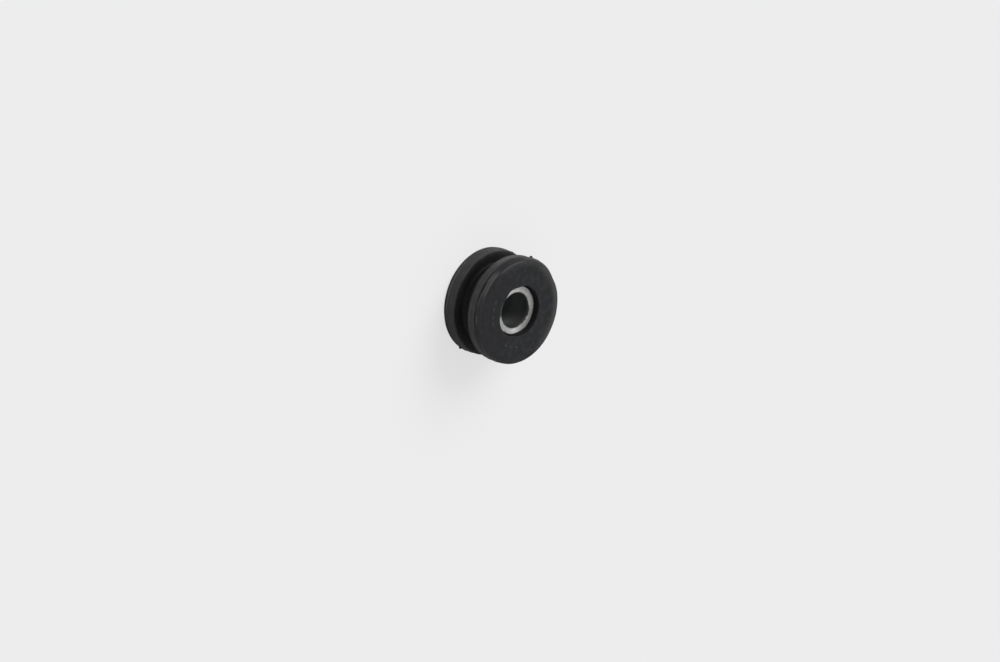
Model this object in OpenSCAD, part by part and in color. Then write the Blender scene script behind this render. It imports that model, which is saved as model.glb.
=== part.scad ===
// A flanged rubber cushion with a steel collar in its bore.
// It stands on one flange, its axis is +Z, and its origin is the centre of
// the face that it stands on.

/* [Cushion] */
// Outside diameter of both flanges
flange_d = 20; // [18:0.5:30]
// Thickness of the flange that it stands on
lower_flange_t = 2.8; // [2.5:0.1:5]
// Thickness of the upper flange
upper_flange_t = 3.2; // [2.5:0.1:5]
// Width of the groove that grips the bracket
groove_w = 3.7; // [2:0.1:6]
// Diameter at the bottom of the groove
hub_d = 15; // [12:0.5:16]
// Radius on each flange's outer corner
face_edge_r = 0.4; // [0.1:0.05:0.6]
// Radius on each flange's corner beside the groove
groove_edge_r = 0.3; // [0.1:0.05:0.5]
// Radius in the two inner corners of the groove
groove_root_r = 0.5; // [0.1:0.05:0.8]

/* [Mouths of the bore] */
// Diameter of the mouth in each face
mouth_d = 9.9; // [9.8:0.1:11]
// Depth of each mouth
mouth_depth = 1.3; // [1:0.1:2]
// Radius on the rim of each mouth
mouth_edge_r = 0.1; // [0.1:0.05:0.4]
// Radius in the corner at the floor of each mouth
mouth_floor_r = 0.15; // [0.05:0.05:0.2]

/* [Mould marks] */
// Distance of the lower flange's parting line from its outer face
lower_parting_inset = 0.75; // [0.7:0.05:1.6]
// Distance of the upper flange's parting line from its outer face
upper_parting_inset = 1.2; // [0.7:0.05:1.6]
// Width of the parting line
parting_w = 0.3; // [0.1:0.05:0.4]
// Depth of the parting line
parting_depth = 0.12; // [0.05:0.01:0.3]
// Turn of the mould's split about the axis
split_turn = 127; // [90:1:150]
// How far the seams of the split stand proud
seam_proud = 0.1; // [0.05:0.01:0.2]
// Width of each seam at its foot
seam_w = 0.35; // [0.2:0.05:0.5]
// How far the torn flash stands proud of the rim
flash_proud = 0.25; // [0.1:0.05:0.4]
// Width of the torn flash where it joins the rim
flash_w = 0.5; // [0.3:0.05:0.7]
// Arc of rim that the torn flash covers
flash_arc = 14; // [6:1:30]
// Radius of the nub that is left in the flash
nub_r = 0.25; // [0.15:0.05:0.3]

/* [Collar] */
// Outside diameter of the collar
collar_d = 9.5; // [8:0.1:9.6]
// Bore of the collar, to clear an M6 bolt
collar_bore_d = 6.6; // [6.4:0.1:6.8]
// Depth of the collar's ends below the cushion's faces
recess = 1.1; // [0.5:0.1:1.2]
// Chamfer on the collar's outer edges
collar_outer_chamfer = 0.1; // [0.05:0.05:0.4]
// Chamfer on the collar's inner edges
collar_inner_chamfer = 0.2; // [0.05:0.05:0.4]

/* [Hidden] */

$fn = 96;
overshoot = 0.1;
nub_root = 0.5;
nub_taper = 0.6;
rubber_color = [0.16, 0.16, 0.17];
steel_color = [0.74, 0.74, 0.73];

flange_r = flange_d / 2;
hub_r = hub_d / 2;
mouth_r = mouth_d / 2;
collar_r = collar_d / 2;
collar_bore_r = collar_bore_d / 2;
total_h = lower_flange_t + groove_w + upper_flange_t;
collar_h = total_h - 2 * recess;
lower_parting_z = lower_parting_inset;
upper_parting_z = total_h - upper_parting_inset;

// Torn flash: its turn about the axis, its height, and the turn of its nub
lower_flash = [split_turn - 6, lower_parting_z, split_turn - 11];
upper_flash = [split_turn + 185, upper_parting_z, split_turn + 187];
far_flash = [split_turn + 182, lower_parting_z];

// The tip between a square corner and the arc that rounds it. way points
// from the corner to the arc's centre. Taken away, it rounds an outer corner;
// added, it fills an inner one.
module corner_tip(corner, way, r) {
    past = r + overshoot;
    translate(corner + way * r)
        difference() {
            translate([way[0] > 0 ? -past : 0, way[1] > 0 ? -past : 0])
                square(past);
            circle(r = r);
        }
}

// The section of a flange, with its outer face on the X axis
module flange_section(thickness, parting_inset) {
    difference() {
        translate([collar_r, 0])
            square([flange_r - collar_r, thickness]);
        corner_tip([flange_r, 0], [-1, 1], face_edge_r);
        corner_tip([flange_r, thickness], [-1, -1], groove_edge_r);
        corner_tip([mouth_r, 0], [1, 1], mouth_edge_r);
        translate([flange_r, parting_inset])
            polygon([
                [overshoot, -parting_w / 2],
                [-parting_depth, 0],
                [overshoot, parting_w / 2],
            ]);
        mouth_section();
    }
    corner_tip([hub_r, thickness], [1, 1], groove_root_r);
}

// What a mouth takes out of the section, with a round in its inner corner
module mouth_section() {
    difference() {
        translate([0, -overshoot])
            square([mouth_r, mouth_depth + overshoot]);
        corner_tip([mouth_r, mouth_depth], [-1, -1], mouth_floor_r);
    }
}

module cushion_section() {
    flange_section(lower_flange_t, lower_parting_inset);
    translate([0, total_h])
        mirror([0, 1])
            flange_section(upper_flange_t, upper_parting_inset);
    translate([collar_r, lower_flange_t - overshoot])
        square([hub_r - collar_r, groove_w + 2 * overshoot]);
}

// Puts a shape that lies along +X at a turn about the axis; a turn of 0 faces
// -Y, and it grows towards +X
module at_turn(turn) {
    rotate([0, 0, turn - 90])
        children();
}

// A low triangular crest from height z to top on a wall that faces +X at wall_r
module crest(wall_r, z, top) {
    translate([wall_r, 0, z])
        linear_extrude(top - z)
            polygon([
                [-overshoot, -seam_w / 2],
                [seam_proud, 0],
                [-overshoot, seam_w / 2],
            ]);
}

// The two seams that the split mould leaves down the groove and the rims
module seams() {
    groove_top = lower_flange_t + groove_w;
    for (side = [0, 180])
        at_turn(split_turn + side) {
            crest(hub_r, lower_flange_t + groove_root_r, groove_top - groove_root_r);
            crest(flange_r, lower_parting_z + parting_w / 2, lower_flange_t - groove_edge_r);
            crest(flange_r, groove_top + groove_edge_r, upper_parting_z - parting_w / 2);
        }
}

// A thin crest of torn flash on a rim
module torn_flash(place) {
    at_turn(place[0])
        rotate([0, 0, -flash_arc / 2])
            rotate_extrude(angle = flash_arc)
                translate([flange_r - overshoot, place[1]])
                    polygon([
                        [0, -flash_w / 2],
                        [overshoot + flash_proud, 0],
                        [0, flash_w / 2],
                    ]);
}

// The nub that is left in a stretch of torn flash
module torn_nub(place) {
    at_turn(place[2])
        translate([flange_r - nub_root, 0, place[1]])
            rotate([0, 90, 0])
                cylinder(r1 = nub_r, r2 = nub_r * nub_taper, h = nub_root + flash_proud + overshoot);
}

module rubber_cushion() {
    color(rubber_color) {
        rotate_extrude()
            cushion_section();
        seams();
        for (place = [lower_flash, upper_flash, far_flash])
            torn_flash(place);
        for (place = [lower_flash, upper_flash])
            torn_nub(place);
    }
}

module collar_section() {
    difference() {
        translate([collar_bore_r, 0])
            square([collar_r - collar_bore_r, collar_h]);
        for (end = [0, collar_h]) {
            translate([collar_r, end])
                rotate(45)
                    square(collar_outer_chamfer * sqrt(2), center = true);
            translate([collar_bore_r, end])
                rotate(45)
                    square(collar_inner_chamfer * sqrt(2), center = true);
        }
    }
}

module steel_collar() {
    color(steel_color)
        translate([0, 0, recess])
            rotate_extrude()
                collar_section();
}

rubber_cushion();
steel_collar();
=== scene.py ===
# A flanged rubber cushion with a steel collar in its bore, on a pale floor.
import math
import random

import bpy
from mathutils import Matrix, Vector, noise


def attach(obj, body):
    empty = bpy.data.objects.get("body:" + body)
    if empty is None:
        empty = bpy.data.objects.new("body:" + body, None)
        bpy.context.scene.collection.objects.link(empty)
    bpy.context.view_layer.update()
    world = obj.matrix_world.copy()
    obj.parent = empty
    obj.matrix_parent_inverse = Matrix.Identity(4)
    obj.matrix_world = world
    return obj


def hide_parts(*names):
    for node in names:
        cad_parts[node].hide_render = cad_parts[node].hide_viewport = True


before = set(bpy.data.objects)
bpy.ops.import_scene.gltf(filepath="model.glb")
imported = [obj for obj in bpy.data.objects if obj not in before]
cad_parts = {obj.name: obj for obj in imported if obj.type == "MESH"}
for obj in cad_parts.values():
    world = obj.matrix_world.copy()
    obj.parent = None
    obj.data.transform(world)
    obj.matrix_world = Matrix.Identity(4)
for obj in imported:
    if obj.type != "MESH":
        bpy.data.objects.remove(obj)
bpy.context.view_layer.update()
print("frame loaded")

noise.seed_set(1)  # without it, noise_vector differs from run to run

mm = 0.001
samePlace = 0.001 * mm  # points this close are taken as one
weldGap = 0.002 * mm
bpy.context.scene.view_settings.view_transform = "Standard"


def turnPoint(turn, radius, height):
    # a turn of 0 degrees faces -Y and grows towards +X
    a = math.radians(turn)
    return Vector((radius * math.sin(a), -radius * math.cos(a), height))


def turnOf(place):
    return math.degrees(math.atan2(place.x, -place.y)) % 360


def turnGap(a, b):
    return (a - b + 180) % 360 - 180


def bump(x, width):
    return math.exp(-((x / width) ** 2))


def deselectAll():
    bpy.ops.object.select_all(action="DESELECT")


def startEdit(obj, kind="VERT"):
    deselectAll()
    obj.select_set(True)
    bpy.context.view_layer.objects.active = obj
    bpy.ops.object.mode_set(mode="EDIT")
    bpy.ops.mesh.select_mode(type=kind)
    bpy.ops.mesh.select_all(action="DESELECT")


def endEdit():
    bpy.ops.object.mode_set(mode="OBJECT")


def pickVerts(obj, test):
    # leaves edit mode to mark the vertices that pass the test, and goes back in
    bpy.ops.mesh.select_all(action="DESELECT")
    endEdit()
    for v in obj.data.vertices:
        v.select = test(v.co)
    bpy.ops.object.mode_set(mode="EDIT")


def pickLongEdges(obj, lengthAt):
    bpy.ops.mesh.select_all(action="DESELECT")
    endEdit()
    found = 0
    for e in obj.data.edges:
        a, b = (obj.data.vertices[i].co for i in e.vertices)
        e.select = (b - a).length > lengthAt((a + b) / 2)
        if e.select:
            found += 1
            for i in e.vertices:
                obj.data.vertices[i].select = True
    bpy.ops.object.mode_set(mode="EDIT")
    return found


def drawSection(name, corners, lengthAt, steps):
    # one vertex is drawn along the section, its corners are rounded, the
    # straights are divided, and the whole is spun about the axis
    deselectAll()
    bpy.ops.mesh.primitive_plane_add(size=mm, location=(0, 0, 0))
    obj = bpy.context.object
    obj.name = name
    obj.data.name = name
    startEdit(obj)
    bpy.ops.mesh.select_all(action="SELECT")
    bpy.ops.mesh.merge(type="CENTER")
    here = corners[0]
    bpy.ops.transform.translate(value=(here[0] * mm, 0, here[1] * mm))
    for corner in corners[1:]:
        step = ((corner[0] - here[0]) * mm, 0, (corner[1] - here[1]) * mm)
        bpy.ops.mesh.extrude_region_move(TRANSFORM_OT_translate={"value": step})
        here = corner
    ends = [Vector((c[0] * mm, 0, c[1] * mm)) for c in (corners[0], corners[-1])]
    pickVerts(obj, lambda co: min((co - end).length for end in ends) < samePlace)
    bpy.ops.mesh.edge_face_add()
    for corner in corners:
        if corner[2] > 0:
            place = Vector((corner[0] * mm, 0, corner[1] * mm))
            pickVerts(obj, lambda co: (co - place).length < samePlace)
            bpy.ops.mesh.bevel(
                offset=corner[2] * mm, segments=corner[3], affect="VERTICES", clamp_overlap=False
            )
    while pickLongEdges(obj, lengthAt):
        bpy.ops.mesh.subdivide(number_cuts=1)
    endEdit()
    turned = obj.modifiers.new("turned", "SCREW")
    turned.steps = steps
    turned.render_steps = steps
    turned.use_merge_vertices = True
    turned.merge_threshold = weldGap
    bpy.ops.object.modifier_apply(modifier=turned.name)
    startEdit(obj)
    bpy.ops.mesh.select_all(action="SELECT")
    bpy.ops.mesh.remove_doubles(threshold=weldGap)
    bpy.ops.mesh.normals_make_consistent(inside=False)
    endEdit()
    return obj


cushion = {
    "flangeRadius": 10,
    "lowerFlange": 2.8,
    "upperFlange": 3.2,
    "height": 9.7,
    "hubRadius": 7.5,
    "boreRadius": 4.75,
    "mouthRadius": 4.95,
    "mouthDepth": 1.3,
    "mouthFloor": 0.15,
    "faceEdge": 0.4,
    "mouthEdge": 0.1,
    "grooveEdge": 0.3,
    "grooveRoot": 0.5,
    "lowerParting": 0.75,
    "upperParting": 8.5,
    "partingDepth": 0.12,
    "partingWidth": 0.3,
    "partingEdge": 0.04,
    # longest edges left in the section, and steps round the axis
    "boreStep": 1.8,
    "faceStep": 0.16,
    "otherStep": 0.3,
    "steps": 400,
    # what is closer to the axis than this stays put, so that it grips the collar
    "gripRadius": 4.85,
    "rimRadius": 9.7,
    # seams of the mould's split, on the rims and on the hub between two heights
    "splitTurns": (127, 307),
    "seamProud": 0.07,
    "seamWidth": 0.16,
    "seamRimRadius": 9.85,
    "seamHubRadius": 7.7,
    "seamHubHeights": (3.6, 6.1),
    # the parting line wanders, is partly filled, and has a ragged ridge beside it
    "wander": 0.05,
    "wanderDensity": 3.1,
    "filled": 0.45,
    "filledSpread": 1.5,
    "filledDensity": 9.0,
    "filledShare": 0.6,
    "filledWidth": 0.09,
    "ragged": 0.5,
    "raggedSpread": 0.8,
    "raggedDensity": 22.0,
    "ridge": 0.03,
    "ridgeRagged": 0.035,
    "ridgeOffset": 0.24,
    "ridgeWidth": 0.1,
    # flash left by the mould: flange (0 lower, 1 upper), turn, half arc, how proud
    "flashRuns": (
        (0, 121, 7, 0.2),
        (1, 311, 8, 0.2),
        (0, 308, 7, 0.18),
        (1, 279, 26, 0.06),
        (0, 262, 20, 0.05),
    ),
    "flashWidth": 0.16,
    "flashSolid": 0.55,
    "flashRagged": 0.45,
    # the upper rim is a little flat on one side
    "flatTurn": 276,
    "flatHalfArc": 9,
    "flatDepth": 0.18,
    "flatFrom": 7,
    # where the lip of the upper mouth leans in: turn, half arc, reach
    "lips": ((24, 15, 0.42), (55, 17, 0.34), (338, 18, 0.33), (145, 26, 0.3)),
    "lipOuter": 5.4,
    "lipWidth": 0.35,
    "lipDepth": 0.5,
    # slow and quick waves in the surface: density and shift
    "unevenness": 0.03,
    "slowWave": (0.35, (7, 3, 1)),
    "quickWave": (1.3, (2, 9, 5)),
    "quickShare": 0.4,
    "liftShare": 0.6,
    "lowerLiftShare": 0.5,
    "liftQuickShare": 0.5,
    "liftSunk": 0.4,
    "liftDepth": 0.45,
    "restDepth": 0.02,
    # equal plain dashes raised on the upper face
    "dashTurns": (40, 52, 64, 76, 126, 138, 150),
    "dashRadius": 6.7,
    "dashLength": 0.9,
    "dashWidth": 0.45,
    "dashHeight": 0.08,
    "dashSoft": 0.3,
    "dashWorn": 0.08,
    "dashWornDensity": 2.3,
    # a round mark left by the mould's ejector pin
    "pinTurn": 180,
    "pinRadius": 8.3,
    "pinReach": 0.5,
    "pinWidth": 0.16,
    "pinHeight": 0.07,
    "markDepth": 0.05,
    "markOuter": 9.5,
    # stubs of torn rubber: name, turn, height and seed
    "nubs": (("nubUpper", 314, 8.5, 4), ("nubLower", 117, 0.85, 9)),
    "nubMiddle": 9.95,
    "nubRadius": 0.3,
    "nubLength": 0.5,
    "nubSides": 14,
    "nubCuts": 2,
    # narrowing and shift outwards and upwards, twice
    "nubTip": ((0.08, 0.12, 0), (0.09, 0.03, 0.04)),
    "nubTorn": 0.25,
    "nubTornDensity": 3.5,
}


def cushionCorners(c):
    # (radius, height, round, segments), up from the lower mouth and round
    def flange(thickness, parting):
        radius = c["flangeRadius"]
        return [
            (c["boreRadius"], c["mouthDepth"], 0, 0),
            (c["mouthRadius"], c["mouthDepth"], c["mouthFloor"], 3),
            (c["mouthRadius"], 0, c["mouthEdge"], 3),
            (radius, 0, c["faceEdge"], 6),
            (radius, parting - c["partingWidth"] / 2, c["partingEdge"], 2),
            (radius - c["partingDepth"], parting, 0, 0),
            (radius, parting + c["partingWidth"] / 2, c["partingEdge"], 2),
            (radius, thickness, c["grooveEdge"], 4),
            (c["hubRadius"], thickness, c["grooveRoot"], 5),
        ]

    upper = flange(c["upperFlange"], c["height"] - c["upperParting"])
    turnedOver = [(r, c["height"] - z, edge, cuts) for r, z, edge, cuts in reversed(upper)]
    return flange(c["lowerFlange"], c["lowerParting"]) + turnedOver


def cushionStep(middle):
    # longest edge that is left on each part of the section
    c = cushion
    radius, height = middle.x / mm, middle.z / mm
    if radius < c["gripRadius"]:
        return c["boreStep"] * mm
    if height > c["height"] - c["mouthEdge"] and radius < c["flangeRadius"] - c["faceEdge"]:
        return c["faceStep"] * mm
    return c["otherStep"] * mm


rubberCushion = drawSection(
    "rubberCushion", cushionCorners(cushion), cushionStep, cushion["steps"]
)
print("cushion spun,", len(rubberCushion.data.polygons), "faces")


def waveAt(place, wave):
    density, shift = wave
    return noise.noise(place / mm * density + Vector(shift))


def dashLift(place, turn):
    # a dash with round ends that lies along the rim
    c = cushion
    middle = turnPoint(turn, c["dashRadius"], 0)
    gap = Vector((place.x / mm - middle.x, place.y / mm - middle.y))
    way = math.radians(turn)
    along = abs(gap.x * math.cos(way) + gap.y * math.sin(way))
    across = abs(gap.y * math.cos(way) - gap.x * math.sin(way))
    straight = (c["dashLength"] - c["dashWidth"]) / 2
    off = math.hypot(max(along - straight, 0), across) - c["dashWidth"] / 2
    off += c["dashWorn"] * noise.noise(place / mm * c["dashWornDensity"])
    return c["dashHeight"] * max(0, min(1, 0.5 - off / c["dashSoft"]))


def faceLift(place):
    c = cushion
    pin = turnPoint(c["pinTurn"], c["pinRadius"], 0)
    fromPin = math.hypot(place.x / mm - pin.x, place.y / mm - pin.y)
    ring = c["pinHeight"] * bump(fromPin - c["pinReach"], c["pinWidth"])
    return max(dashLift(place, turn) for turn in c["dashTurns"]) + ring


def partingPush(height, turn, flange):
    # what the mould's parting line and its flash add to a rim
    c = cushion
    line = c["lowerParting"] if flange == 0 else c["upperParting"]
    rimPlace = Vector((math.cos(math.radians(turn)), math.sin(math.radians(turn)), flange))
    wander = c["wander"] * noise.noise(rimPlace * c["wanderDensity"])
    away = height - line - wander
    filled = c["filled"] + c["filledSpread"] * noise.noise(rimPlace * c["filledDensity"])
    filled = max(0, min(1, filled))
    push = c["filledShare"] * filled * c["partingDepth"] * bump(away, c["filledWidth"])
    ragged = c["ragged"] + c["raggedSpread"] * noise.noise(rimPlace * c["raggedDensity"])
    outward = 1 if flange == 1 else -1
    fromRidge = away - outward * c["ridgeOffset"]
    push += (c["ridge"] + c["ridgeRagged"] * ragged) * bump(fromRidge, c["ridgeWidth"])
    for side, middle, halfArc, proud in c["flashRuns"]:
        if side == flange and abs(turnGap(turn, middle)) < halfArc:
            fade = min(1, 2 * (1 - (turnGap(turn, middle) / halfArc) ** 2))
            torn = c["flashSolid"] + c["flashRagged"] * ragged
            push += proud * fade * torn * bump(away, c["flashWidth"])
    return push


def seamPush(radius, height, turn):
    c = cushion
    low, high = c["seamHubHeights"]
    onHub = radius < c["seamHubRadius"] and low < height < high
    if radius <= c["seamRimRadius"] and not onHub:
        return 0
    gaps = [math.radians(turnGap(turn, split)) * radius for split in c["splitTurns"]]
    return sum(c["seamProud"] * bump(gap, c["seamWidth"]) for gap in gaps)


def lipPush(radius, onFace, turn):
    c = cushion
    near = bump(radius - c["mouthRadius"], c["lipWidth"]) * bump(onFace, c["lipDepth"])
    return -sum(reach * bump(turnGap(turn, middle), arc) * near for middle, arc, reach in c["lips"])


def cushionPush(place):
    c = cushion
    radius, height, turn = place.xy.length / mm, place.z / mm, turnOf(place)
    if radius < c["gripRadius"]:
        return Vector()
    outwards = Vector((place.x, place.y, 0)).normalized()
    flange = 1 if height > c["height"] / 2 else 0
    onFace = min(height, c["height"] - height)
    push = seamPush(radius, height, turn)
    if radius > c["rimRadius"]:
        push += partingPush(height, turn, flange)
    if flange == 1 and radius > c["flatFrom"]:
        flat = c["flatDepth"] * bump(turnGap(turn, c["flatTurn"]), c["flatHalfArc"])
        push -= flat * (radius / c["flangeRadius"]) ** 3
    if flange == 1 and radius < c["lipOuter"] and onFace < 1:
        push += lipPush(radius, onFace, turn)
    slow, quick = waveAt(place, c["slowWave"]), waveAt(place, c["quickWave"])
    push += c["unevenness"] * (slow + c["quickShare"] * quick)
    lift = 0.0
    if onFace < c["liftDepth"] and radius > c["mouthRadius"]:
        rise = slow + c["liftQuickShare"] * quick - c["liftSunk"]
        rise *= c["liftShare"] * c["unevenness"]
        if flange == 1:
            lift = rise
        elif onFace > c["restDepth"]:
            lift = c["lowerLiftShare"] * max(rise, 0)
        if flange == 1 and onFace < c["markDepth"] and radius < c["markOuter"]:
            lift += faceLift(place)
    return (outwards * push + Vector((0, 0, lift))) * mm


for v in rubberCushion.data.vertices:
    v.co += cushionPush(v.co)
print("cushion worn")


def tornNub(c, name, turn, height, seed):
    # a stub of torn rubber: a short cone, broken off askew
    rng = random.Random(seed)
    deselectAll()
    place = turnPoint(turn, c["nubMiddle"], height) * mm
    out = turnPoint(turn, 1, 0)
    bpy.ops.mesh.primitive_cylinder_add(
        vertices=c["nubSides"],
        radius=c["nubRadius"] * mm,
        depth=c["nubLength"] * mm,
        location=place,
    )
    nub = bpy.context.object
    nub.name = name
    turned = Vector((0, 0, 1)).rotation_difference(out).to_matrix()
    nub.matrix_world = Matrix.Translation(place) @ turned.to_4x4()
    bpy.ops.object.transform_apply(location=True, rotation=True, scale=True)
    startEdit(nub, "FACE")
    endEdit()
    for f in nub.data.polygons:
        f.select = f.normal.dot(out) > 0.9  # only the outer end
    bpy.ops.object.mode_set(mode="EDIT")
    for narrowing, outwards, upwards in c["nubTip"]:
        bpy.ops.mesh.inset(thickness=narrowing * mm)
        bpy.ops.transform.translate(value=(out * outwards + Vector((0, 0, upwards))) * mm)
    bpy.ops.mesh.select_all(action="SELECT")
    bpy.ops.mesh.subdivide(number_cuts=c["nubCuts"], smoothness=0)
    endEdit()
    shift = Vector((rng.random(), rng.random(), rng.random())) * 10
    for v in nub.data.vertices:
        proud = max(0, v.co.dot(out) / mm - c["nubMiddle"])
        torn = noise.noise_vector(v.co / mm * c["nubTornDensity"] + shift)
        v.co += torn * c["nubTorn"] * proud * mm
    return nub


nubs = [tornNub(cushion, *nub) for nub in cushion["nubs"]]
deselectAll()
for nub in nubs:
    nub.select_set(True)
rubberCushion.select_set(True)
bpy.context.view_layer.objects.active = rubberCushion
bpy.ops.object.join()
bpy.ops.object.shade_smooth()
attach(rubberCushion, "root")
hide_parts("rubber_cushion")
print("torn nubs joined")

collar = {
    "radius": 4.75,
    "boreRadius": 3.3,
    "lower": 1.1,
    "upper": 8.6,
    "outerChamfer": 0.1,
    "innerChamfer": 0.2,
    "chamferRound": 0.03,
    "faceRound": 0.05,
    # longest edges left near the ends and between them, and steps round the axis
    "endStep": 0.12,
    "endDepth": 0.3,
    "otherStep": 0.7,
    "steps": 288,
    "smoothAngle": 25,
    # a rough nick in the inner edge of the upper end
    "nickTurn": 205,
    "nickHalfArc": 20,
    "nickFrom": 8,
    "nickOuter": 4.5,
    "nickWave": (1.9, (4, 1, 8)),
    "nickMiddle": 0.1,
    "nickWidth": 0.3,
    "nickDepth": 0.35,
    "nickPush": 0.14,
    "nickPushRough": 0.3,
    "nickDrop": 0.05,
    "nickDropRough": 0.2,
    "waviness": 0.012,
    "endWave": (1.1, (0, 0, 0)),
}


def collarCorners(c):
    # (radius, height, round, segments), round the wall
    lower, upper = c["lower"], c["upper"]
    outer, inner = c["outerChamfer"], c["innerChamfer"]
    small, large = c["chamferRound"], c["faceRound"]
    return [
        (c["boreRadius"], lower + inner, small, 2),
        (c["boreRadius"] + inner, lower, small, 2),
        (c["radius"] - outer, lower, large, 2),
        (c["radius"], lower + outer, small, 2),
        (c["radius"], upper - outer, small, 2),
        (c["radius"] - outer, upper, large, 2),
        (c["boreRadius"] + inner, upper, small, 2),
        (c["boreRadius"], upper - inner, small, 2),
    ]


def collarStep(middle):
    c = collar
    toEnd = min(middle.z / mm - c["lower"], c["upper"] - middle.z / mm)
    return (c["endStep"] if toEnd < c["endDepth"] else c["otherStep"]) * mm


steelCollar = drawSection("steelCollar", collarCorners(collar), collarStep, collar["steps"])


def collarPush(place):
    # the nick, and a slight waviness of the upper end
    c = collar
    radius, height, turn = place.xy.length / mm, place.z / mm, turnOf(place)
    if height < c["nickFrom"] or radius > c["nickOuter"]:
        return Vector()
    outwards = Vector((place.x, place.y, 0)).normalized()
    along = bump(turnGap(turn, c["nickTurn"]), c["nickHalfArc"])
    rough = waveAt(place, c["nickWave"])
    edge = bump(radius - c["boreRadius"] - c["nickMiddle"], c["nickWidth"])
    edge *= bump(height - c["upper"], c["nickDepth"])
    push = outwards * max(0, c["nickPush"] + c["nickPushRough"] * rough)
    push.z -= max(0, c["nickDrop"] - c["nickDropRough"] * rough)
    wave = Vector((0, 0, c["waviness"] * waveAt(place, c["endWave"])))
    return (push * along * edge + wave) * mm


for v in steelCollar.data.vertices:
    v.co += collarPush(v.co)
deselectAll()
steelCollar.select_set(True)
bpy.context.view_layer.objects.active = steelCollar
bpy.ops.object.shade_smooth_by_angle(angle=math.radians(collar["smoothAngle"]))
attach(steelCollar, "root")
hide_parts("steel_collar")
print("collar made")


def newMaterial(name):
    mat = bpy.data.materials.new(name)
    mat.use_nodes = True
    mat.node_tree.nodes.clear()
    return mat, mat.node_tree


def addNode(tree, kind, label, settings=None, values=None):
    node = tree.nodes.new(kind)
    node.name = label
    node.label = label
    for key, value in (settings or {}).items():
        setattr(node, key, value)
    for key, value in (values or {}).items():
        if isinstance(value, bpy.types.NodeSocket):
            tree.links.new(value, node.inputs[key])
        else:
            node.inputs[key].default_value = value
    return node


def calc(tree, what, a, b=0.0, c=0.0):
    settings = {"operation": what}
    return addNode(tree, "ShaderNodeMath", what.lower(), settings, {0: a, 1: b, 2: c}).outputs[0]


def times(tree, *masks):
    product = masks[0]
    for mask in masks[1:]:
        product = calc(tree, "MULTIPLY", product, mask)
    return product


def without(tree, mask):
    return calc(tree, "SUBTRACT", 1.0, mask)


def larger(tree, a, b):
    return calc(tree, "MAXIMUM", a, b)


def distanceTo(tree, value, middle):
    return calc(tree, "ABSOLUTE", calc(tree, "SUBTRACT", value, middle))


def band(tree, value, start, end):
    # 0 up to start, 1 from end on, smooth in between
    settings = {"interpolation_type": "SMOOTHSTEP"}
    values = {"Value": value, "From Min": start, "From Max": end}
    return addNode(tree, "ShaderNodeMapRange", "band", settings, values).outputs["Result"]


def near(tree, value, middle, reach, core=0.3):
    # 1 in the core round the middle, 0 from the reach on
    return without(tree, band(tree, distanceTo(tree, value, middle), core * reach, reach))


def mixColor(tree, mask, a, b):
    settings = {"data_type": "RGBA"}
    return addNode(tree, "ShaderNodeMix", "mix", settings, {0: mask, 6: a, 7: b}).outputs[2]


def newGroup(name, inputs, outputs):
    tree = bpy.data.node_groups.new(name, "ShaderNodeTree")
    for socketName, kind, value in inputs:
        socket = tree.interface.new_socket(socketName, in_out="INPUT", socket_type=kind)
        if value is not None:
            socket.default_value = value
    for socketName, kind in outputs:
        tree.interface.new_socket(socketName, in_out="OUTPUT", socket_type=kind)
    return tree, tree.nodes.new("NodeGroupInput"), tree.nodes.new("NodeGroupOutput")


def useGroup(tree, group, values):
    return addNode(tree, "ShaderNodeGroup", group.name, {"node_tree": group}, values)


def makeRoundPlace():
    # place in millimetres, distance from the axis and height of a turned piece
    tree, _, groupOut = newGroup(
        "roundPlace",
        [],
        [
            ("Place", "NodeSocketVector"),
            ("Radius", "NodeSocketFloat"),
            ("Height", "NodeSocketFloat"),
        ],
    )
    coords = addNode(tree, "ShaderNodeTexCoord", "coords")
    place = addNode(
        tree,
        "ShaderNodeMapping",
        "inMillimetres",
        None,
        {"Vector": coords.outputs["Object"], "Scale": (1000, 1000, 1000)},
    ).outputs[0]
    split = addNode(tree, "ShaderNodeSeparateXYZ", "split", None, {0: place})
    flat = addNode(
        tree, "ShaderNodeCombineXYZ", "flat", None, {0: split.outputs[0], 1: split.outputs[1]}
    )
    radius = addNode(
        tree, "ShaderNodeVectorMath", "radius", {"operation": "LENGTH"}, {0: flat.outputs[0]}
    )
    tree.links.new(place, groupOut.inputs["Place"])
    tree.links.new(radius.outputs["Value"], groupOut.inputs["Radius"])
    tree.links.new(split.outputs[2], groupOut.inputs["Height"])
    return tree


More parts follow.
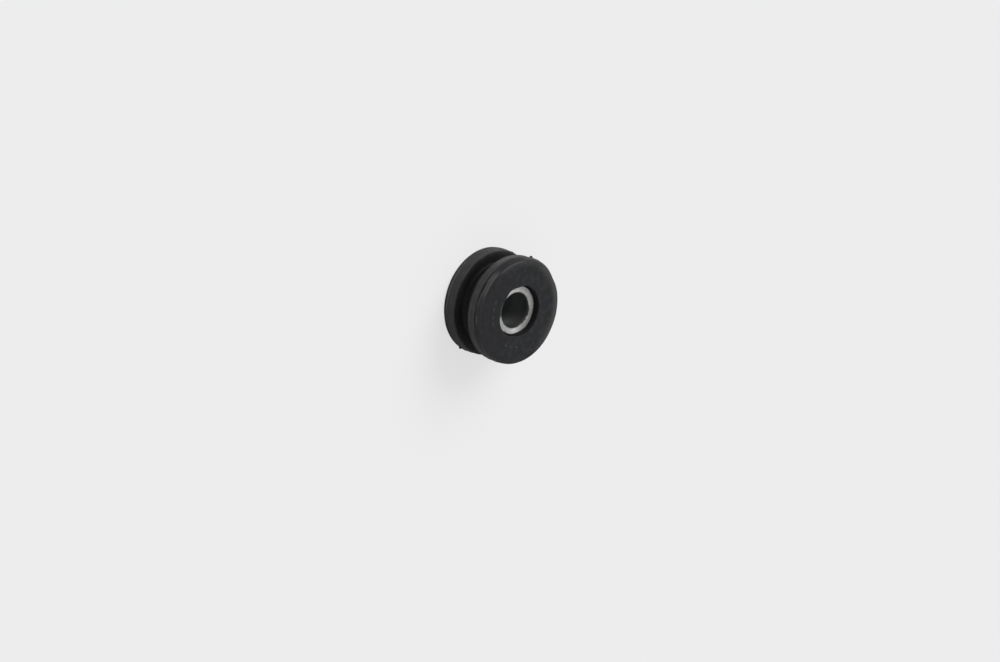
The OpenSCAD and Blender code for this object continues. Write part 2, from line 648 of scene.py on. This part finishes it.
def makeFineGrain():
    # a fine grain with slower mottling, as a height and as two masks
    tree, groupIn, groupOut = newGroup(
        "fineGrain",
        [
            ("Place", "NodeSocketVector", None),
            ("Grain Size", "NodeSocketFloat", 0.1),
            ("Mottle Size", "NodeSocketFloat", 1.5),
            ("Pits", "NodeSocketFloat", 0.5),
        ],
        [
            ("Height", "NodeSocketFloat"),
            ("Mottle", "NodeSocketFloat"),
            ("Grain", "NodeSocketFloat"),
        ],
    )
    place = groupIn.outputs["Place"]
    grainScale = calc(tree, "DIVIDE", 1.0, groupIn.outputs["Grain Size"])
    mottleScale = calc(tree, "DIVIDE", 1.0, groupIn.outputs["Mottle Size"])
    grain = addNode(
        tree,
        "ShaderNodeTexNoise",
        "grain",
        None,
        {"Vector": place, "Scale": grainScale, "Detail": 3.0, "Roughness": 0.6},
    ).outputs[0]
    mottle = addNode(
        tree,
        "ShaderNodeTexNoise",
        "mottle",
        None,
        {"Vector": place, "Scale": mottleScale, "Detail": 4.0, "Roughness": 0.55},
    ).outputs[0]
    cells = addNode(
        tree,
        "ShaderNodeTexVoronoi",
        "cells",
        None,
        {"Vector": place, "Scale": calc(tree, "MULTIPLY", grainScale, 0.16), "Randomness": 1.0},
    ).outputs["Distance"]
    pit = without(tree, band(tree, cells, 0.02, 0.16))
    pit = calc(tree, "MULTIPLY", pit, groupIn.outputs["Pits"])
    height = calc(tree, "SUBTRACT", grain, pit)
    tree.links.new(height, groupOut.inputs["Height"])
    tree.links.new(mottle, groupOut.inputs["Mottle"])
    tree.links.new(grain, groupOut.inputs["Grain"])
    return tree


def makeWornPatch():
    # 1 inside a soft-edged, ragged ball round a place, in millimetres
    tree, groupIn, groupOut = newGroup(
        "wornPatch",
        [
            ("Place", "NodeSocketVector", None),
            ("Middle", "NodeSocketVector", None),
            ("Reach", "NodeSocketFloat", 3.0),
            ("Ragged", "NodeSocketFloat", 1.0),
        ],
        [("Worn", "NodeSocketFloat")],
    )
    place = groupIn.outputs["Place"]
    away = addNode(
        tree,
        "ShaderNodeVectorMath",
        "away",
        {"operation": "DISTANCE"},
        {0: place, 1: groupIn.outputs["Middle"]},
    ).outputs["Value"]
    torn = addNode(
        tree,
        "ShaderNodeTexNoise",
        "torn",
        None,
        {"Vector": place, "Scale": 1.3, "Detail": 4.0, "Roughness": 0.6},
    ).outputs[0]
    shift = calc(tree, "MULTIPLY", calc(tree, "SUBTRACT", torn, 0.5), groupIn.outputs["Ragged"])
    share = calc(tree, "DIVIDE", away, groupIn.outputs["Reach"])
    share = calc(tree, "ADD", share, shift)
    wornAndShade = without(tree, band(tree, share, 0.55, 1.15))
    tree.links.new(wornAndShade, groupOut.inputs["Worn"])
    return tree


def makeTurnedLines():
    # thin rings that follow the axis: stretched noise across them
    tree, groupIn, groupOut = newGroup(
        "turnedLines",
        [
            ("Radius", "NodeSocketFloat", 0.0),
            ("Height", "NodeSocketFloat", 0.0),
            ("Place", "NodeSocketVector", None),
            ("Line Density", "NodeSocketFloat", 6.0),
            ("Along Density", "NodeSocketFloat", 0.3),
        ],
        [("Lines", "NodeSocketFloat")],
    )
    across = calc(tree, "ADD", groupIn.outputs["Radius"], groupIn.outputs["Height"])
    across = calc(tree, "MULTIPLY", across, groupIn.outputs["Line Density"])
    split = addNode(tree, "ShaderNodeSeparateXYZ", "split", None, {0: groupIn.outputs["Place"]})
    alongX = calc(tree, "MULTIPLY", split.outputs[0], groupIn.outputs["Along Density"])
    alongY = calc(tree, "MULTIPLY", split.outputs[1], groupIn.outputs["Along Density"])
    stretched = addNode(
        tree, "ShaderNodeCombineXYZ", "stretched", None, {0: alongX, 1: alongY, 2: across}
    )
    lines = addNode(
        tree,
        "ShaderNodeTexNoise",
        "lines",
        None,
        {"Vector": stretched.outputs[0], "Scale": 1.0, "Detail": 3.0, "Roughness": 0.6},
    )
    tree.links.new(lines.outputs[0], groupOut.inputs["Lines"])
    return tree


roundPlace = makeRoundPlace()
fineGrain = makeFineGrain()
turnedLines = makeTurnedLines()
wornPatch = makeWornPatch()


def patch(tree, place, spot):
    turn, distance, level, reach, ragged = spot
    values = {
        "Place": place.outputs["Place"],
        "Middle": turnPoint(turn, distance, level),
        "Reach": reach,
        "Ragged": ragged,
    }
    return useGroup(tree, wornPatch, values).outputs["Worn"]


def finishMaterial(tree, f, relief, values):
    bumpNode = addNode(
        tree,
        "ShaderNodeBump",
        "bump",
        None,
        {
            "Strength": f["reliefStrength"],
            "Distance": f["reliefDepth"] * mm,
            "Height": relief,
        },
    )
    values = {"Specular IOR Level": f["specular"], "Normal": bumpNode.outputs[0], **values}
    shader = addNode(tree, "ShaderNodeBsdfPrincipled", "shader", None, values)
    out = addNode(tree, "ShaderNodeOutputMaterial", "out")
    tree.links.new(shader.outputs[0], out.inputs[0])


rubberFinish = {
    "base": (0.0118, 0.0124, 0.0138, 1),
    "pale": (0.0218, 0.0226, 0.0246, 1),
    "rim": (0.0285, 0.0292, 0.0312, 1),
    "lowerRim": (0.0315, 0.0288, 0.0296, 1),
    # a pale tone for streaks and for painted highlights
    "streakAndHighlight": (0.062, 0.061, 0.060, 1),
    # painted shade tone of the groove, the mouths, the partings and shaded places on the face
    "groove": (0.0112, 0.0112, 0.0124, 1),
    "sootAndShade": (0.002, 0.002, 0.0025, 1),
    "dust": (0.12, 0.118, 0.115, 1),
    # patches: turn, distance from the axis, height, reach and how ragged
    "shade": (66, 8, 9.7, 9, 0.7),
    "farHighlight": (250, 10, 9.7, 10.5, 0.5),
    "upperHighlight": (325, 10, 9.7, 7, 0.6),
    "nearEdge": (40, 9.6, 9.7, 5, 0.6),
    "arc": (347, 9.5, 9.7, 3.4, 0.6),
    "nearPaleSpot": (22, 10, 9.3, 3.2, 1.0),
    "farPaleSpot": (300, 10, 9.3, 5.5, 1.0),
    "darkSpot": (351, 10, 8.9, 3.6, 0.5),
    "paleUpperBand": (339, 10, 7.3, 4.2, 0.5),
    "paleLowerBand": (38, 10, 0.9, 6, 1.0),
    "grooveRoot": (357, 8, 3, 6.5, 0.4),
    "lineShade": (27, 10, 8.5, 4, 0.4),
    "deepLineShade": (27, 10, 8.5, 3.6, 0.4),
    "fibres": (60, 10, 8.8, 5, 1.0),
    "lip": (62, 4.8, 9.7, 2.2, 0.4),
    # how much of what is under it each one covers
    "shadeShare": 0.6,
    "raisedShare": 0.4,
    "upperHighlightShare": 0.5,
    "highlightShare": 0.9,
    "nearEdgeShare": 0.9,
    "streakShare": 0.85,
    "outsideShare": 0.75,
    "paleSpotShare": 0.7,
    "darkSpotShare": 0.95,
    "paleUpperBandShare": 0.35,
    "paleLowerBandShare": 0.7,
    "rootShare": 0.95,
    "deepLineShadeShare": 0.8,
    "fibreShare": 0.5,
    "lipShare": 0.5,
    "speckShare": 0.5,
    # soft edges, from none to all: by mottling, lines or grain
    "mottled": (0.4, 0.66),
    "streaked": (0.36, 0.78),
    "lineShadeBroken": (0.3, 0.56),
    "fibrous": (0.58, 0.68),
    "speckSize": (0.05, 0.11),
    "speckGrain": (0.5, 0.62),
    # by distance from the axis
    "rimRadii": (9.55, 9.85),
    "highlightRadii": (8.0, 9.7),
    "grooveRadii": (8.6, 9.8),
    "mouthRadii": (4.95, 5.1),
    # by height, or by distance from the middle height of the groove or the cushion
    "raised": (9.73, 9.775),
    "halves": (4.0, 5.0),
    "lipHeights": (9.3, 9.6),
    "grooveReach": (1.8, 2.05),
    "mouthReach": (4.6, 4.85),
    "lineReach": (0.06, 0.24),
    "outsideBelow": 0.05,
    "outsideAbove": 0.1,
    # stripes: middle and reach
    "nearEdgeStripe": (9.5, 0.5),
    "arcStripe": (9.45, 0.22),
    "paleUpperBandStripe": (7.4, 0.8),
    "paleLowerBandStripe": (0.86, 0.22),
    "rootStripe": (2.9, 1.0),
    "deepLineShadeStripe": (8.53, 0.26),
    "fibreStripe": (8.8, 0.45),
    "lipStripe": (4.7, 0.3),
    # the painted shade of the lower parting line lies this high, and is this much narrower
    "lowerLineShade": 0.5,
    "lowerLineShadeLess": 0.1,
    # stains and scuffs on the upper rim: turn, height, reach, tint, share
    "rimMarks": (
        (29, 8.62, 1.3, "sootAndShade", 0.8),
        (45, 8.75, 0.9, "streakAndHighlight", 0.7),
        (61, 8.45, 0.9, "sootAndShade", 0.7),
        (64, 8.95, 0.8, "streakAndHighlight", 0.5),
        (80, 9.0, 1.8, "base", 0.9),
        (37, 7.6, 0.8, "streakAndHighlight", 0.6),
        (52, 7.3, 0.7, "streakAndHighlight", 0.5),
        (110, 9.0, 1.4, "streakAndHighlight", 0.4),
    ),
    "markRagged": 0.8,
    "markReach": 0.35,
    "grain": {"Grain Size": 0.11, "Mottle Size": 1.1, "Pits": 0.6},
    "lines": {"Line Density": 7.0, "Along Density": 0.3},
    "lineRelief": 1.2,
    "speckDensity": 1.6,
    "reliefStrength": 0.8,
    "reliefDepth": 0.045,
    "roughness": 0.66,
    "roughnessSpread": 0.22,
    "specular": 0.16,
}


# mottled, with painted shade on one side and along the near edge, and painted highlights along the
# other edge, in a thin arc near the rim and on the raised marks
def colorFace(tree, f, place, mottle):
    # mottled, darker on one side, and paler along the other edge
    radius, height = place.outputs["Radius"], place.outputs["Height"]
    face = mixColor(tree, band(tree, mottle, *f["mottled"]), f["base"], f["pale"])
    shade = times(tree, patch(tree, place, f["shade"]), f["shadeShare"])
    face = mixColor(tree, shade, face, f["groove"])
    # painted highlight: the tops of the raised marks are paler
    raised = times(tree, band(tree, height, *f["raised"]), f["raisedShare"])
    face = mixColor(tree, raised, face, f["streakAndHighlight"])
    # painted highlight: the face is paler towards its upper and far edges
    upperHighlight = times(tree, patch(tree, place, f["upperHighlight"]), f["upperHighlightShare"])
    pale = larger(tree, patch(tree, place, f["farHighlight"]), upperHighlight)
    pale = times(tree, band(tree, radius, *f["highlightRadii"]), pale, f["highlightShare"])
    face = mixColor(tree, pale, face, f["streakAndHighlight"])
    # painted shade along the near edge of the face
    edge = times(tree, near(tree, radius, *f["nearEdgeStripe"]), patch(tree, place, f["nearEdge"]))
    face = mixColor(tree, times(tree, edge, f["nearEdgeShare"]), face, f["groove"])
    # painted highlight: a thin pale arc near the rim
    arc = times(tree, near(tree, radius, *f["arcStripe"]), patch(tree, place, f["arc"]))
    return mixColor(tree, arc, face, f["streakAndHighlight"])


def colorRims(tree, f, place, lines):
    # streaked, and darker outside the upper parting line but for two paler places
    height = place.outputs["Height"]
    isLower = without(tree, band(tree, height, *f["halves"]))
    rim = mixColor(tree, isLower, f["rim"], f["lowerRim"])
    streaks = times(tree, band(tree, lines, *f["streaked"]), f["streakShare"])
    rim = mixColor(tree, streaks, rim, f["streakAndHighlight"])
    parting = cushion["upperParting"]
    outside = band(tree, height, parting - f["outsideBelow"], parting + f["outsideAbove"])
    paleSpots = larger(tree, patch(tree, place, f["nearPaleSpot"]), patch(tree, place, f["farPaleSpot"]))
    dark = times(tree, outside, without(tree, paleSpots), f["outsideShare"])
    rim = mixColor(tree, dark, rim, f["pale"])
    rim = mixColor(tree, times(tree, outside, paleSpots, f["paleSpotShare"]), rim, f["streakAndHighlight"])
    darkSpot = times(tree, outside, patch(tree, place, f["darkSpot"]), f["darkSpotShare"])
    rim = mixColor(tree, darkSpot, rim, f["base"])
    # paler bands on both rims, in the dust tone
    paleBands = []
    for bandName in ("paleUpperBand", "paleLowerBand"):
        stripe = near(tree, height, *f[bandName + "Stripe"])
        paleBands.append(times(tree, stripe, patch(tree, place, f[bandName]), f[bandName + "Share"]))
    rim = mixColor(tree, larger(tree, *paleBands), rim, f["dust"])
    for turn, level, reach, tint, share in f["rimMarks"]:
        spot = (turn, cushion["flangeRadius"], level, reach, f["markRagged"])
        mark = times(tree, patch(tree, place, spot), near(tree, height, level, f["markReach"]))
        rim = mixColor(tree, times(tree, mark, share), rim, f[tint])
    return rim


def addPartingShade(tree, f, place, onRim, mottle, color):
    # painted shade: dark lines in the creases of the partings
    height = place.outputs["Height"]
    toLower = calc(tree, "ADD", distanceTo(tree, height, f["lowerLineShade"]), f["lowerLineShadeLess"])
    toLine = calc(tree, "MINIMUM", distanceTo(tree, height, cushion["upperParting"]), toLower)
    atLine = without(tree, band(tree, toLine, *f["lineReach"]))
    creaseShade = larger(tree, band(tree, mottle, *f["lineShadeBroken"]), patch(tree, place, f["lineShade"]))
    color = mixColor(tree, times(tree, atLine, onRim, creaseShade), color, f["groove"])
    stripe = times(tree, near(tree, height, *f["deepLineShadeStripe"]), onRim)
    deepLineShade = times(tree, stripe, patch(tree, place, f["deepLineShade"]), f["deepLineShadeShare"])
    return mixColor(tree, deepLineShade, color, f["sootAndShade"])


def makeRubber(f):
    mat, tree = newMaterial("mouldedRubber")
    place = useGroup(tree, roundPlace, {})
    radius, height = place.outputs["Radius"], place.outputs["Height"]
    grainValues = {"Place": place.outputs["Place"], **f["grain"]}
    grain = useGroup(tree, fineGrain, grainValues).outputs
    lineValues = {"Height": height, "Place": place.outputs["Place"], **f["lines"]}
    lines = useGroup(tree, turnedLines, lineValues).outputs["Lines"]
    onRim = band(tree, radius, *f["rimRadii"])
    face = colorFace(tree, f, place, grain["Mottle"])
    color = mixColor(tree, onRim, face, colorRims(tree, f, place, lines))
    # painted shade: the groove is darker, and darkest along one stretch of its root
    grooveMiddle = (cushion["lowerFlange"] + cushion["height"] - cushion["upperFlange"]) / 2
    fromGroove = distanceTo(tree, height, grooveMiddle)
    inGroove = times(
        tree,
        without(tree, band(tree, radius, *f["grooveRadii"])),
        without(tree, band(tree, fromGroove, *f["grooveReach"])),
    )
    color = mixColor(tree, inGroove, color, f["groove"])
    root = times(tree, inGroove, near(tree, height, *f["rootStripe"]))
    root = times(tree, root, patch(tree, place, f["grooveRoot"]), f["rootShare"])
    color = mixColor(tree, root, color, f["sootAndShade"])
    color = addPartingShade(tree, f, place, onRim, grain["Mottle"], color)
    # pale ends of torn fibres beside the upper parting line
    fibres = times(tree, near(tree, height, *f["fibreStripe"]), onRim)
    fibres = times(tree, fibres, band(tree, grain["Grain"], *f["fibrous"]))
    fibres = times(tree, fibres, patch(tree, place, f["fibres"]), f["fibreShare"])
    color = mixColor(tree, fibres, color, f["dust"])
    # painted shade: the mouths are dark inside
    fromMiddle = distanceTo(tree, height, cushion["height"] / 2)
    inMouth = times(
        tree,
        without(tree, band(tree, radius, *f["mouthRadii"])),
        without(tree, band(tree, fromMiddle, *f["mouthReach"])),
    )
    color = mixColor(tree, inMouth, color, f["groove"])
    # painted highlight on the lip that leans in over the collar
    lip = times(tree, near(tree, radius, *f["lipStripe"]), band(tree, height, *f["lipHeights"]))
    lip = times(tree, lip, patch(tree, place, f["lip"]), f["lipShare"])
    color = mixColor(tree, lip, color, f["streakAndHighlight"])
    # dust specks
    specks = addNode(
        tree,
        "ShaderNodeTexVoronoi",
        "specks",
        None,
        {"Vector": place.outputs["Place"], "Scale": f["speckDensity"], "Randomness": 1.0},
    ).outputs["Distance"]
    speck = without(tree, band(tree, specks, *f["speckSize"]))
    speck = times(tree, speck, band(tree, grain["Grain"], *f["speckGrain"]), f["speckShare"])
    color = mixColor(tree, speck, color, f["dust"])
    spread = f["roughnessSpread"]
    rough = calc(tree, "MULTIPLY_ADD", grain["Mottle"], spread, f["roughness"] - spread / 2)
    rimLines = times(tree, lines, onRim)
    relief = calc(tree, "MULTIPLY_ADD", rimLines, f["lineRelief"], grain["Height"])
    finishMaterial(tree, f, relief, {"Base Color": color, "Roughness": rough})
    return mat


steelFinish = {
    "base": (0.52, 0.52, 0.512, 1),
    "wornAndShade": (0.33, 0.328, 0.32, 1),
    "bore": (0.042, 0.044, 0.040, 1),
    "boreLitDeep": (0.115, 0.128, 0.124, 1),
    "boreDark": (0.012, 0.013, 0.012, 1),
    "gapShade": (0.03, 0.03, 0.032, 1),
    # patches: turn, distance from the axis, height, reach and how ragged
    "farShade": (200, 4.1, 8.6, 3.2, 0.4),
    "boreDarkPatch": (112, 3.3, 7.4, 3.4, 0.5),
    "nick": (217, 3.4, 8.5, 2.1, 0.5),
    "darkSpot": (52, 3.7, 8.6, 1.9, 0.5),
    "wideGapShade": (150, 4.8, 8.6, 3.6, 0.3),
    # how much of what is under it each one covers
    "spotShare": 0.5,
    "farShadeShare": 0.9,
    "boreDarkShare": 0.8,
    "nickShare": 0.9,
    "darkSpotShare": 0.7,
    # soft edges, from none to all
    "turned": (0.45, 0.7),
    "spotted": (0.5, 0.7),
    "boreRadii": (3.34, 3.5),
    "boreHeights": (4.5, 8.2),
    "nickRadii": (3.78, 3.92),
    "nickHeights": (8.25, 8.45),
    "gapShadeRadii": (4.66, 4.84),
    "edgeRadii": (3.5, 3.7),
    # how far mottling and the wide film shift an edge
    "nickRagged": 0.5,
    "gapShadeRagged": 0.3,
    "gapShadeWidening": 0.2,
    "grain": {"Grain Size": 0.08, "Mottle Size": 0.9, "Pits": 0.2},
    "lines": {"Line Density": 16.0, "Along Density": 0.5},
    "grainRelief": 0.3,
    "reliefStrength": 0.35,
    "reliefDepth": 0.02,
    "roughness": 0.52,
    "roughnessSpread": 0.2,
    "edgeRoughness": 0.25,
    "boreRoughness": 0.2,
    "anisotropy": 0.7,
    "turnOfSheen": 0.29,
    "specular": 0.15,
}


def makeSteel(f):
    mat, tree = newMaterial("turnedSteel")
    place = useGroup(tree, roundPlace, {})
    radius, height = place.outputs["Radius"], place.outputs["Height"]
    grainValues = {"Place": place.outputs["Place"], **f["grain"]}
    grain = useGroup(tree, fineGrain, grainValues).outputs
    lineValues = {"Radius": radius, "Height": height, "Place": place.outputs["Place"], **f["lines"]}
    lines = useGroup(tree, turnedLines, lineValues).outputs["Lines"]
    color = mixColor(tree, band(tree, lines, *f["turned"]), f["base"], f["wornAndShade"])
    spots = times(tree, band(tree, grain["Mottle"], *f["spotted"]), f["spotShare"])
    color = mixColor(tree, spots, color, f["wornAndShade"])
    # painted shade: the far side of the end is darker
    farShade = times(tree, patch(tree, place, f["farShade"]), f["farShadeShare"])
    color = mixColor(tree, farShade, color, f["wornAndShade"])
    # the bore is dark, with painted light that makes it lighter deep down, and a darker patch
    inBore = without(tree, band(tree, radius, *f["boreRadii"]))
    bore = mixColor(tree, band(tree, height, *f["boreHeights"]), f["boreLitDeep"], f["bore"])
    boreDark = times(tree, patch(tree, place, f["boreDarkPatch"]), f["boreDarkShare"])
    bore = mixColor(tree, boreDark, bore, f["boreDark"])
    color = mixColor(tree, inBore, color, bore)
    # a rough dark nick in its upper edge, and a dark spot
    ragged = calc(tree, "MULTIPLY_ADD", grain["Mottle"], f["nickRagged"], radius)
    inside = without(tree, band(tree, ragged, *f["nickRadii"]))
    inside = times(tree, inside, band(tree, height, *f["nickHeights"]))
    nick = times(tree, patch(tree, place, f["nick"]), inside)
    color = mixColor(tree, times(tree, nick, f["nickShare"]), color, f["gapShade"])
    darkSpot = times(tree, patch(tree, place, f["darkSpot"]), f["darkSpotShare"])
    color = mixColor(tree, darkSpot, color, f["gapShade"])
    # painted shade in the gap round the outer edge, wider in one place
    gapShade = calc(tree, "MULTIPLY_ADD", grain["Mottle"], f["gapShadeRagged"], radius)
    wide = patch(tree, place, f["wideGapShade"])
    gapShade = calc(tree, "MULTIPLY_ADD", wide, f["gapShadeWidening"], gapShade)
    color = mixColor(tree, band(tree, gapShade, *f["gapShadeRadii"]), color, f["gapShade"])
    spread = f["roughnessSpread"]
    rough = calc(tree, "MULTIPLY_ADD", lines, spread, f["roughness"] - spread / 2)
    atEdge = without(tree, band(tree, radius, *f["edgeRadii"]))
    rough = calc(tree, "MULTIPLY_ADD", larger(tree, atEdge, nick), f["edgeRoughness"], rough)
    rough = calc(tree, "MULTIPLY_ADD", inBore, f["boreRoughness"], rough)
    relief = calc(tree, "ADD", lines, times(tree, grain["Height"], f["grainRelief"]))
    values = {
        "Base Color": color,
        "Metallic": without(tree, inBore),
        "Roughness": rough,
        "Anisotropic": f["anisotropy"],
        "Anisotropic Rotation": f["turnOfSheen"],
    }
    finishMaterial(tree, f, relief, values)
    return mat


def setMaterial(obj, mat):
    obj.data.materials.clear()
    obj.data.materials.append(mat)


setMaterial(rubberCushion, makeRubber(rubberFinish))
setMaterial(steelCollar, makeSteel(steelFinish))
print("materials set")

studio = {
    "paper": (0.845, 0.845, 0.852, 1),
    "backdrop": (0.85, 0.85, 0.858, 1),
    "ambient": (1, 1, 1, 1),
    "ownLight": 0.76,
    "ambientStrength": 0.5,
    "keyTurn": 308,
    "keyHeight": 38,
    "keyStrength": 2.5,
    "keyAngle": 45,
    "floorWidth": 3.0,
    "fibreDensity": 900.0,
    "paperRoughness": 0.85,
    "paperRoughnessSpread": 0.1,
}


def makeStudio(s):
    deselectAll()
    bpy.ops.mesh.primitive_plane_add(size=s["floorWidth"], location=(0, 0, 0))
    floor = bpy.context.object
    floor.name = "floor"
    mat, tree = newMaterial("paper")
    coords = addNode(tree, "ShaderNodeTexCoord", "coords")
    fibre = addNode(
        tree,
        "ShaderNodeTexNoise",
        "fibre",
        None,
        {"Vector": coords.outputs["Object"], "Scale": s["fibreDensity"], "Detail": 2.0},
    ).outputs[0]
    rough = calc(tree, "MULTIPLY_ADD", fibre, s["paperRoughnessSpread"], s["paperRoughness"])
    shader = addNode(
        tree,
        "ShaderNodeBsdfPrincipled",
        "shader",
        None,
        {"Base Color": s["paper"], "Roughness": rough, "Specular IOR Level": 0.0},
    )
    # seen by the camera, part of the paper's brightness is its own, so that
    # the shadow on it stays soft
    path = addNode(tree, "ShaderNodeLightPath", "path")
    share = calc(tree, "MULTIPLY", path.outputs["Is Camera Ray"], s["ownLight"])
    glow = addNode(tree, "ShaderNodeEmission", "glow", None, {"Color": s["backdrop"]})
    mixed = {0: share, 1: shader.outputs[0], 2: glow.outputs[0]}
    both = addNode(tree, "ShaderNodeMixShader", "both", None, mixed)
    out = addNode(tree, "ShaderNodeOutputMaterial", "out")
    tree.links.new(both.outputs[0], out.inputs[0])
    setMaterial(floor, mat)

    world = bpy.data.worlds.new("studio")
    bpy.context.scene.world = world
    world.use_nodes = True
    tree = world.node_tree
    tree.nodes.clear()
    path = addNode(tree, "ShaderNodeLightPath", "path")
    seen = calc(tree, "MAXIMUM", path.outputs["Is Camera Ray"], path.outputs["Is Glossy Ray"])
    seen = calc(tree, "MAXIMUM", seen, path.outputs["Is Transmission Ray"])
    strength = calc(tree, "MULTIPLY_ADD", seen, 1.0 - s["ambientStrength"], s["ambientStrength"])
    color = mixColor(tree, seen, s["ambient"], s["backdrop"])
    light = addNode(
        tree, "ShaderNodeBackground", "light", None, {"Color": color, "Strength": strength}
    )
    out = addNode(tree, "ShaderNodeOutputWorld", "out")
    tree.links.new(light.outputs[0], out.inputs[0])

    deselectAll()
    bpy.ops.object.light_add(type="SUN", location=(0, 0, 0.3))
    key = bpy.context.object
    key.name = "key"
    key.data.energy = s["keyStrength"]
    key.data.angle = math.radians(s["keyAngle"])
    level = math.radians(s["keyHeight"])
    fromLamp = turnPoint(s["keyTurn"], math.cos(level), math.sin(level))
    key.rotation_mode = "QUATERNION"
    key.rotation_quaternion = fromLamp.to_track_quat("Z", "Y")


makeStudio(studio)
print("studio lit")

view = {
    "turn": 40.0,
    "height": 43.22,
    "roll": 109.83,
    "lens": 78.29,
    "distance": 400.0,
    "offset": (0.15, 4.735),
    "target": (0, 0, 4.75),
}


def makeCamera(v):
    level = math.radians(v["height"])
    back = turnPoint(v["turn"], math.cos(level), math.sin(level))
    right = Vector((0, 0, 1)).cross(back).normalized()
    up = back.cross(right)
    roll = math.radians(v["roll"])
    rolledRight = right * math.cos(roll) + up * math.sin(roll)
    rolledUp = up * math.cos(roll) - right * math.sin(roll)
    place = Vector(v["target"]) + back * v["distance"]
    place -= rolledRight * v["offset"][0] + rolledUp * v["offset"][1]
    deselectAll()
    bpy.ops.object.camera_add(location=place * mm)
    camera = bpy.context.object
    camera.name = "camera"
    camera.data.lens = v["lens"]
    camera.data.sensor_width = 36
    camera.data.dof.use_dof = False
    camera.data.clip_start = 0.01
    camera.data.clip_end = 10
    camera.rotation_mode = "QUATERNION"
    camera.rotation_quaternion = Matrix((rolledRight, rolledUp, back)).transposed().to_quaternion()
    bpy.context.scene.camera = camera


makeCamera(view)
print("camera placed")
